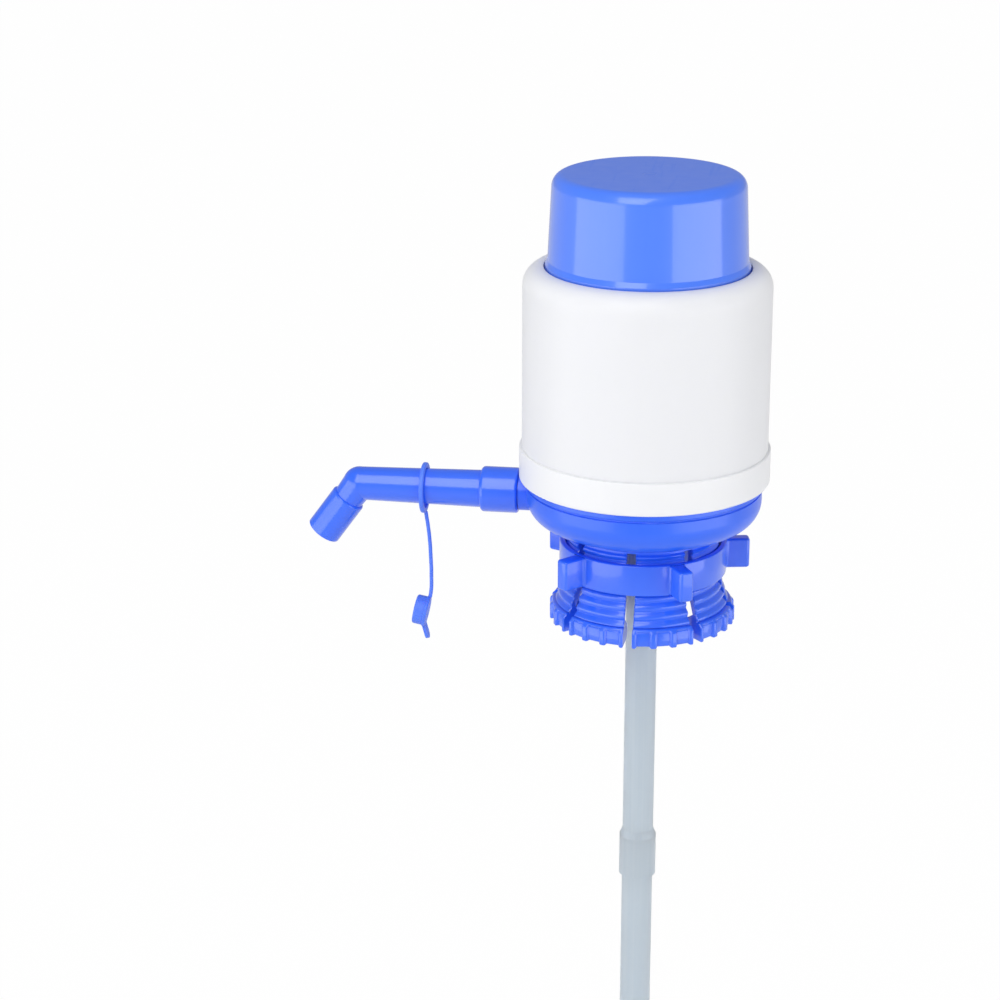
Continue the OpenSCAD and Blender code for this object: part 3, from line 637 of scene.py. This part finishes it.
def shrink(points, amount):
    """A section with every point moved inward, for the softened edge at a jaw's side."""
    centre_r = (COLLET_BORE_R + COLLET_TOP_R) / 2
    moved = []
    count = len(points)
    for i, (r, z) in enumerate(points):
        before, after = points[i - 1], points[(i + 1) % count]
        dr, dz = after[0] - before[0], after[1] - before[1]
        length = math.hypot(dr, dz)
        if length < 1e-9:
            moved.append((r + (centre_r - r) * 0.02, z))
        else:
            moved.append((r + dz / length * amount, z - dr / length * amount))
    return moved


def make_collet(finishes):
    """Eight flared, threaded jaws under one collar, with a toothed foot."""
    work = bmesh.new()
    for jaw in range(JAWS):
        start = SLOT_TURN + 2 * math.pi * jaw / JAWS
        end = start + 2 * math.pi / JAWS
        sections = []
        for i in range(-1, JAW_STEPS + 2):
            at_side = i < 0 or i > JAW_STEPS
            share = max(0, min(JAW_STEPS, i)) / JAW_STEPS
            middle = start + (end - start) * share
            outline = jaw_section(middle)
            if at_side:
                outline = shrink(outline, JAW_EDGE)
            half_slot = SLOT_W / 2 + (0 if at_side else JAW_EDGE)
            section = []
            for r, z in outline:
                edge = math.asin(half_slot / r)
                turn = start + edge + (end - start - 2 * edge) * share
                section.append((r * math.cos(turn), r * math.sin(turn), z))
            sections.append(section)
        rows = loft(work, sections, False)
        work.faces.new(rows[0])
        work.faces.new(rows[-1])
    jaws = piece_from("jaws", work)
    outline = [(COLLET_BORE_R, SLOT_TOP_Z), (THREAD_ROOT_R, SLOT_TOP_Z)]
    outline += [(THREAD_ROOT_R, SLOT_TOP_Z + 0.6 * MM), (COLLET_TOP_R, SLOT_TOP_Z + 1.4 * MM)]
    outline += arc(COLLET_TOP_R - COLLAR_EDGE, COLLET_TOP_Z - COLLAR_EDGE, COLLAR_EDGE, 0, 90)
    outline += [(COLLET_BORE_R, COLLET_TOP_Z)]
    collar = lathe("collar", outline)
    collet = joined("neck_collet_threaded", [jaws, collar], finishes["blue_plastic"])
    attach(collet, "base")
    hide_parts("neck_collet")


def joined(name, parts, material):
    """Several mesh pieces as one, in one material."""
    work = bmesh.new()
    for part in parts:
        work.from_mesh(part.data)
        bpy.data.objects.remove(part)
    data = bpy.data.meshes.new(name)
    work.to_mesh(data)
    work.free()
    data.materials.clear()
    data.materials.append(material)
    return link(name, data)


def make_spring(finishes):
    """Return spring: one wire, closed at both ends, made along a rule for its height."""
    shape = Shape("coil", turns=SPRING_TURNS, radius=SPRING_R, wire=WIRE_D, low=DECK_Z, high=PLATE_Z)
    turns = shape.size("turns")
    wire = shape.size("wire")
    low = shape.size("low") + wire / 2
    high = shape.size("high") - wire / 2
    line = shape.node("GeometryNodeMeshLine", {}, {"Count": turns * WIRE_STEPS + 1})
    turn = shape.signal("GeometryNodeInputIndex", {}, {}) / WIRE_STEPS
    open_turns = turns - 2
    rise = (high - low - 2 * wire) / open_turns
    height = low + wire * turn.at_most(1.0) + rise * (turn - 1).at_least(0.0).at_most(open_turns) \
        + wire * (turn - turns + 1).at_least(0.0)
    angle = turn * (2 * math.pi)
    radius = shape.size("radius")
    spot = shape.node("ShaderNodeCombineXYZ", {}, {
        "X": angle.cosine() * radius, "Y": angle.sine() * radius, "Z": height})
    placed = shape.node("GeometryNodeSetPosition", {}, {
        "Geometry": line.outputs[0], "Position": spot.outputs[0]})
    path = shape.node("GeometryNodeMeshToCurve", {}, {"Mesh": placed.outputs[0]})
    section = shape.node("GeometryNodeCurvePrimitiveCircle", {}, {
        "Resolution": WIRE_SIDES, "Radius": wire / 2})
    swept = shape.node("GeometryNodeCurveToMesh", {}, {
        "Curve": path.outputs[0], "Profile Curve": section.outputs[0], "Fill Caps": True})
    spring = shape.run(swept.outputs[0], link("seed", bpy.data.meshes.new("seed")),
                       "return_spring_coil", finishes["steel"])
    spring.data.shade_smooth()
    spring.data.set_sharp_from_angle(angle=math.radians(60))
    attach(spring, "base")
    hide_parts("return_spring")
    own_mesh(spring)


def fold_side(low, high, inset):
    """Softly rounded zigzag of the bellows' side."""
    points = []
    for i in range(FOLDS * STEPS_PER_FOLD + 1):
        share = i / (FOLDS * STEPS_PER_FOLD)
        wave = math.cos(2 * math.pi * share * FOLDS)
        point = math.asin(FOLD_BEND * wave) / math.asin(FOLD_BEND)
        r = BELLOWS_R - inset - FOLD_DEPTH * (0.5 + 0.5 * point)
        points.append((r, low + (high - low) * share))
    return points


def make_bellows(finishes):
    """Blow-moulded bellows: foot bead, cuff, folds, cuff and the bead held in the cap."""
    plate_top = PLATE_Z + PLATE_T
    foot_top = DECK_Z + BEAD_T
    bead_top = plate_top + CAP_BEAD_T
    low = foot_top + LOW_CUFF
    high = PLATE_Z - HIGH_CUFF
    outline = [(FOOT_BEAD_IN_R, DECK_Z), (FOOT_BEAD_R, DECK_Z), (FOOT_BEAD_R, foot_top),
               (CUFF_R, foot_top), (CUFF_R, low - CUFF_EASE)]
    outline += fold_side(low, high, 0)
    outline += [(CUFF_R, high + CUFF_EASE), (CUFF_R, bead_top), (CAP_BEAD_R, bead_top),
                (CAP_BEAD_R, plate_top), (CUFF_IN_R, plate_top), (CUFF_IN_R, high + CUFF_EASE)]
    outline += list(reversed(fold_side(low, high, BELLOWS_WALL)))
    outline += [(CUFF_IN_R, low - CUFF_EASE), (CUFF_IN_R, foot_top), (FOOT_BEAD_IN_R, foot_top)]
    sleeve = lathe("bellows_folded", outline, BELLOWS_STEPS)
    sleeve.data.materials.append(finishes["bellows_rubber"])
    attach(sleeve, "base")
    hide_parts("bellows")
    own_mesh(sleeve)


def make_strap(finishes):
    """The tether's strap, a short soft cord that hangs from its loop."""
    data = bpy.data.curves.new("strap", "CURVE")
    data.dimensions = "3D"
    data.resolution_u = 4
    data.bevel_depth = STRAP_D / 2
    data.bevel_resolution = 4
    data.use_fill_caps = True
    line = data.splines.new("BEZIER")
    line.bezier_points.add(len(STRAP_ROUTE) - 1)
    for point, (x, z) in zip(line.bezier_points, STRAP_ROUTE):
        point.co = (x, 0, z)
        point.handle_left_type = "AUTO"
        point.handle_right_type = "AUTO"
    strap = link("strap", data)
    data.materials.append(finishes["tether_soft"])
    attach(strap, "tether")
    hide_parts("tether_strap")
    x, z = STRAP_ROUTE[0]


# ---------- stage ----------

FLOOR_HALF = 30.0
FLOOR_GAP = 0.2 * MM
FLOOR_GLOW = 0.99
SOFTBOX_DISTANCE = 1.2
SOFTBOX_WIDE = 1.5
SOFTBOX_HIGH = 0.75
SOFTBOX_FOOT = 0.02
SOFTBOXES = [(-59, 6.1), (59, 6.8)]
SIDE_FILLS = [(-122, 1.8), (122, 2.6)]
STRIP_PLACE = (-0.2, -0.75, 0.8)
STRIP_SIZE = (0.6, 1.1)
STRIP_WATTS = 5.9
OVERHEAD_PLACE = (0, 0, 1.3)
OVERHEAD_SIZE = (1.0, 1.0)
OVERHEAD_WATTS = 3.8
SKY_STRENGTH = 0.28
FLOOR_REFLECTED = 0.5
SKY_REFLECTED = 0.1


def seen_rays(tree, reflected):
    """1 for rays from the camera and through clear pieces, the given share for reflected rays."""
    rays = tree.node("ShaderNodeLightPath", {}, {})
    direct, glossy, through = (Signal(tree, rays.outputs[name]) for name in (
        "Is Camera Ray", "Is Glossy Ray", "Is Transmission Ray"))
    return (direct + glossy * reflected + through).at_most(1.0)


def make_floor():
    """Pale paper that the camera sees as nearly white, with a trace of the shadows on it."""
    low = CAD_BOX[0].z - FLOOR_GAP
    work = bmesh.new()
    corners = [(-1, -1), (1, -1), (1, 1), (-1, 1)]
    work.faces.new([work.verts.new((x * FLOOR_HALF, y * FLOOR_HALF, low)) for x, y in corners])
    data = bpy.data.meshes.new("floor")
    work.to_mesh(data)
    work.free()
    paper = Finish("pale_floor", Base_Color=(0.85, 0.85, 0.85, 1), Roughness=0.9)
    glow = paper.node("ShaderNodeEmission", {}, {"Color": (1, 1, 1, 1)})
    mixed = paper.node("ShaderNodeMixShader", {}, {
        0: seen_rays(paper, FLOOR_REFLECTED) * FLOOR_GLOW, 1: paper.shader.outputs[0], 2: glow.outputs[0]})
    paper.nodes.links.new(mixed.outputs[0], paper.end.inputs["Surface"])
    data.materials.append(paper.material)
    link("floor", data)


def make_lamp(name, place, turn, size, watts):
    """A rectangular soft lamp that the camera itself doesn't see. Returns its object."""
    data = bpy.data.lights.new(name, "AREA")
    data.shape = "RECTANGLE"
    data.size, data.size_y = size
    data.energy = watts
    lamp = bpy.data.objects.new(name, data)
    lamp.location = place
    lamp.rotation_euler = turn
    lamp.visible_camera = False
    bpy.context.collection.objects.link(lamp)
    return lamp


def make_softbox(degrees, watts):
    """An upright lamp just above the floor, turned to the pump. Returns its object."""
    height = CAD_BOX[0].z + SOFTBOX_HIGH / 2 + SOFTBOX_FOOT
    turn = CAMERA_ROUND + math.radians(degrees)
    place = (SOFTBOX_DISTANCE * math.sin(turn), -SOFTBOX_DISTANCE * math.cos(turn), height)
    return make_lamp("softbox", place, (math.pi / 2, 0, turn), (SOFTBOX_WIDE, SOFTBOX_HIGH), watts)


def make_lamps():
    """Softboxes at both sides of the camera, a strip light above it, fills without reflections."""
    for degrees, watts in SOFTBOXES:
        make_softbox(degrees, watts)
    for degrees, watts in SIDE_FILLS:
        make_softbox(degrees, watts).visible_glossy = False
    x, y, z = STRIP_PLACE
    tilt = math.atan2(math.hypot(x, y), z)
    make_lamp("strip_light", STRIP_PLACE, (tilt, 0, math.atan2(x, -y)), STRIP_SIZE, STRIP_WATTS)
    fill = make_lamp("overhead_fill", OVERHEAD_PLACE, (0, 0, 0), OVERHEAD_SIZE, OVERHEAD_WATTS)
    fill.visible_glossy = False


def make_world():
    """White to the camera and through clear plastic, dimmer in reflections and as light."""
    world = bpy.data.worlds.new("studio")
    world.use_nodes = True
    sky = Tree(world.node_tree)
    world.node_tree.nodes.clear()
    strength = SKY_STRENGTH + seen_rays(sky, SKY_REFLECTED) * (1 - SKY_STRENGTH)
    glow = sky.node("ShaderNodeBackground", {}, {"Color": (1, 1, 1, 1), "Strength": strength})
    sky.node("ShaderNodeOutputWorld", {}, {"Surface": glow.outputs[0]})
    bpy.context.scene.world = world
    bpy.context.scene.view_settings.view_transform = "Standard"


def main():
    make_camera()
    finishes = make_finishes()
    make_strap(finishes)
    dress_solids(finishes)
    make_collet(finishes)
    make_clamp_ring(finishes)
    make_bellows(finishes)
    make_spring(finishes)
    make_floor()
    make_lamps()
    make_world()


main()
